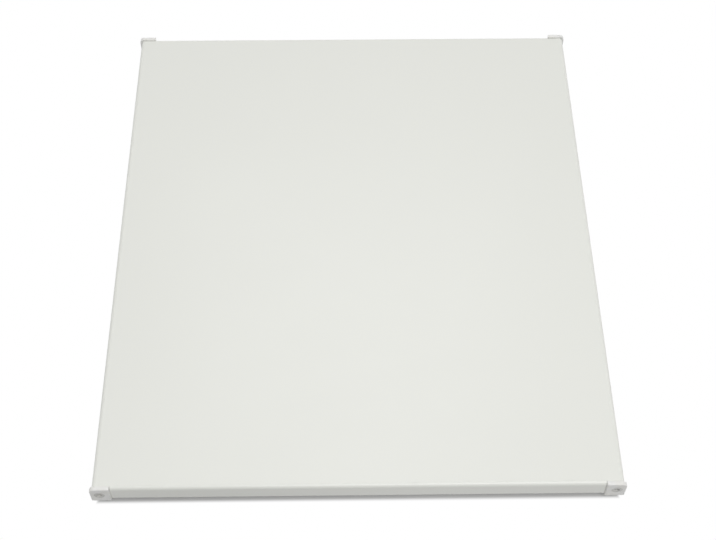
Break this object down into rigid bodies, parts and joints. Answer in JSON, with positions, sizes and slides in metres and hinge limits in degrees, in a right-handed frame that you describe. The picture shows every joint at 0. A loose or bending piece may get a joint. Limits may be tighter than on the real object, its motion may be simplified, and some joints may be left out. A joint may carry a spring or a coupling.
{
  "type": "freezer door",
  "caption": "Flat white freezer door lying face up: folded steel skin with plastic corner caps and hinge bushes, foam core, formed inner liner and a magnetic seal.",
  "frame": {"origin": "under the middle of the door, in the plane that the liner's dyke rests on when the door lies face up", "axes": "+Z out of the outer face, +Y from the door's lower end to its upper end, +X across it"},
  "size_m": [0.5998, 0.6948, 0.0402],
  "materials": {
    "painted_steel": "smooth semi-gloss white paint on sheet steel",
    "liner_plastic": "vacuum-formed white polystyrene",
    "foam": "rigid polyurethane foam, not seen from outside",
    "gasket_vinyl": "matt white soft vinyl",
    "magnet": "brown bonded ferrite strip, not seen from outside",
    "cap_plastic": "fine-grained cool white moulded plastic",
    "bush_nylon": "grey nylon",
    "zinc_steel": "zinc-plated sheet steel, not seen from outside"
  },
  "bodies": {
    "root": {"outer_skin": "painted_steel", "inner_liner": "liner_plastic", "foam_core": "foam", "door_gasket": "gasket_vinyl", "magnet_strip_left": "magnet", "magnet_strip_right": "magnet", "magnet_strip_bottom": "magnet", "magnet_strip_top": "magnet", "corner_cap_bottom_left": "cap_plastic", "corner_cap_bottom_right": "cap_plastic", "corner_cap_top_left": "cap_plastic", "corner_cap_top_right": "cap_plastic", "hinge_bush_bottom_left": "bush_nylon", "hinge_bush_bottom_right": "bush_nylon", "hinge_bush_top_left": "bush_nylon", "hinge_bush_top_right": "bush_nylon", "hinge_plate_bottom_left": "zinc_steel", "hinge_plate_bottom_right": "zinc_steel", "hinge_plate_top_left": "zinc_steel", "hinge_plate_top_right": "zinc_steel", "handle_plate_left": "zinc_steel", "handle_plate_right": "zinc_steel", "handle_hole_plugs": "cap_plastic"}
  },
  "joints": []
}
